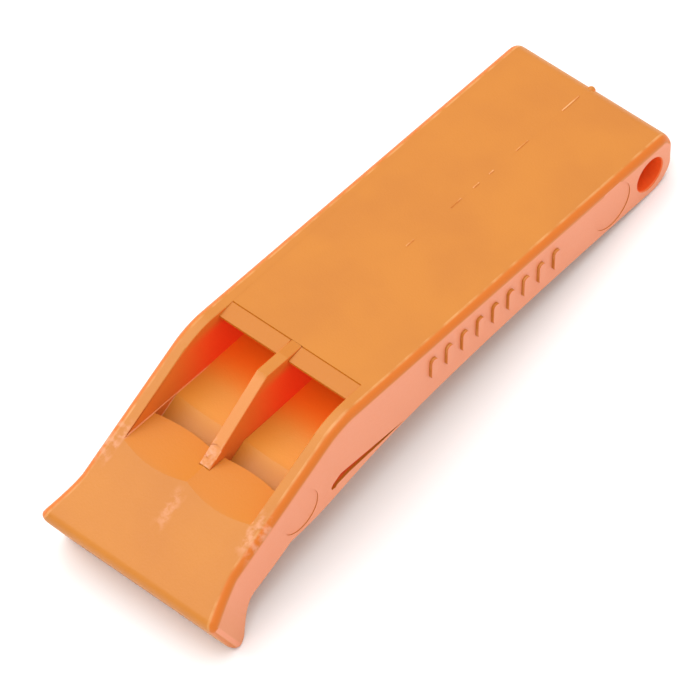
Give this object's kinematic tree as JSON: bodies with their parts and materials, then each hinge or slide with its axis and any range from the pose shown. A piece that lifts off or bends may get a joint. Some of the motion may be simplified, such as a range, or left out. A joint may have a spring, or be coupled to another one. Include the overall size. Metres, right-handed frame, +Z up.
{
  "type": "two-tone emergency whistle",
  "caption": "Flat pealess emergency whistle: boomerang side shape, twin sound windows split by a centre rib, sloped bite mouthpiece, lanyard hole at the far end.",
  "frame": {"origin": "on the surface that the whistle lies on, below the middle of its bounding box", "axes": "+X along the length towards the lanyard hole, +Y to the left, +Z up; the flat top slopes down about 10 degrees towards +X"},
  "size_m": [0.0642, 0.0196, 0.0132],
  "materials": {
    "orange_shell": "injection-moulded safety-orange polypropylene, satin with a soft gloss, slightly translucent",
    "orange_partition": "the same orange polypropylene as the shells"
  },
  "bodies": {
    "root": {"left_half_shell": "orange_shell", "right_half_shell": "orange_shell", "centre_partition": "orange_partition"}
  },
  "joints": []
}
